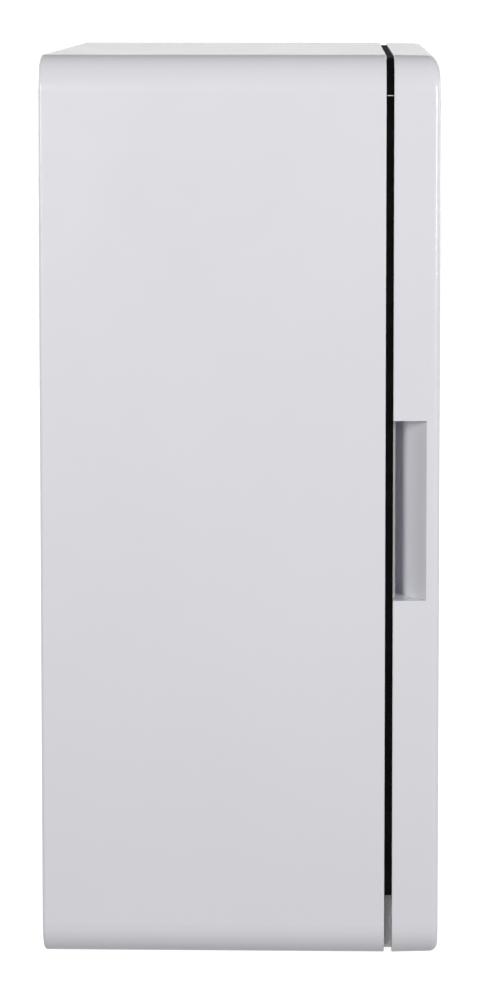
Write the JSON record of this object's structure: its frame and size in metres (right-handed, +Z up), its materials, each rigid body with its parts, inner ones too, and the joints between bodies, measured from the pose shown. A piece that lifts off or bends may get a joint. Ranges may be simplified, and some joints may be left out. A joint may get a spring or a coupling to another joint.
{
  "type": "hot towel cabinet",
  "caption": "Tall heated cabinet that keeps towels hot, with a side-hung full-height door, a finger pull in its edge, wire shelves, a drip tray and a power switch.",
  "frame": {"origin": "centre of the footprint, on the surface the feet stand on", "axes": "+X to the right seen from the front, -Y towards the door's front, +Z up"},
  "size_m": [0.45, 0.288, 0.664],
  "materials": {
    "white_abs": "gloss",
    "white_trim": "satin",
    "coated_steel": "satin",
    "galvanised_steel": "satin",
    "black_rubber": "matte",
    "zinc_screws": "satin",
    "liner_aluminium": "satin",
    "rivet_aluminium": "satin",
    "glass_fibre": "matte",
    "heater_foil": "satin",
    "nylon": "satin",
    "nylon_black": "satin",
    "hinge_steel": "satin",
    "ferrite": "matte",
    "black_plastic": "satin",
    "brass": "satin",
    "amber_lens": "gloss",
    "chrome_wire": "polished",
    "wire_brown": "satin",
    "wire_blue": "satin",
    "wire_green": "satin",
    "wire_red": "satin"
  },
  "bodies": {
    "cabinet": {"outer_shell": "white_abs", "front_frame": "white_trim", "back_panel": "coated_steel", "back_panel_screws": "zinc_screws", "base_plate": "galvanised_steel", "foot_front_left": "black_rubber", "foot_front_right": "black_rubber", "foot_rear_left": "black_rubber", "foot_rear_right": "black_rubber", "foot_screws": "zinc_screws", "inner_liner": "liner_aluminium", "frame_screws": "zinc_screws", "insulation_top": "glass_fibre", "insulation_bottom": "glass_fibre", "insulation_sides": "glass_fibre", "insulation_rear": "glass_fibre", "heater_mat_left": "heater_foil", "heater_mat_right": "heater_foil", "heater_mat_rear": "heater_foil", "drain_spout": "nylon", "shelf_rails": "liner_aluminium", "rail_rivets": "rivet_aluminium", "tray_runners": "nylon", "hinge_bracket_lower": "hinge_steel", "hinge_bracket_upper": "hinge_steel", "hinge_pins": "hinge_steel", "hinge_bracket_screws": "zinc_screws", "catch_housings": "white_trim", "catch_magnets": "ferrite", "switch_housing": "black_plastic", "switch_terminals": "brass", "pilot_lamp": "amber_lens", "inlet_housing": "black_plastic", "inlet_pins": "brass", "inlet_screws": "zinc_screws", "thermostat": "black_plastic", "thermal_fuse": "black_plastic", "terminal_block": "white_trim", "earth_screw": "brass", "line_wire": "wire_brown", "neutral_wire": "wire_blue", "earth_wire": "wire_green", "heater_wire": "wire_red"},
    "door": {"door_cover": "white_abs", "handle_cup": "white_abs", "door_inner_panel": "white_trim", "door_screws": "zinc_screws", "door_insulation": "glass_fibre", "strike_plates": "zinc_screws", "gasket_top": "black_rubber", "gasket_left": "black_rubber", "gasket_right": "black_rubber", "gasket_bottom": "black_rubber", "hinge_block_lower": "nylon", "hinge_block_upper": "nylon", "hinge_bushes": "nylon_black"},
    "rocker": {"power_rocker": "black_plastic"},
    "lower_shelf": {"wire_shelf_lower": "chrome_wire"},
    "upper_shelf": {"wire_shelf_upper": "chrome_wire"},
    "tray": {"drip_tray": "white_trim"}
  },
  "joints": [
    {"name": "door_hinge", "type": "hinge", "parent": "cabinet", "child": "door", "pos_m": [0.2155, -0.122, 0.335], "axis": [0, 0, 1], "range_deg": [0, 110]},
    {"name": "rocker_tilt", "type": "hinge", "parent": "cabinet", "child": "rocker", "pos_m": [0.2204, -0.058, 0.057], "axis": [0, -1, 0], "range_deg": [0, 16]},
    {"name": "lower_shelf_slide", "type": "slide", "parent": "cabinet", "child": "lower_shelf", "axis": [0, -1, 0], "range_m": [0, 0.018]},
    {"name": "upper_shelf_slide", "type": "slide", "parent": "cabinet", "child": "upper_shelf", "axis": [0, -1, 0], "range_m": [0, 0.018]},
    {"name": "drip_tray_slide", "type": "slide", "parent": "cabinet", "child": "tray", "axis": [0, -1, 0], "range_m": [0, 0.013]}
  ]
}
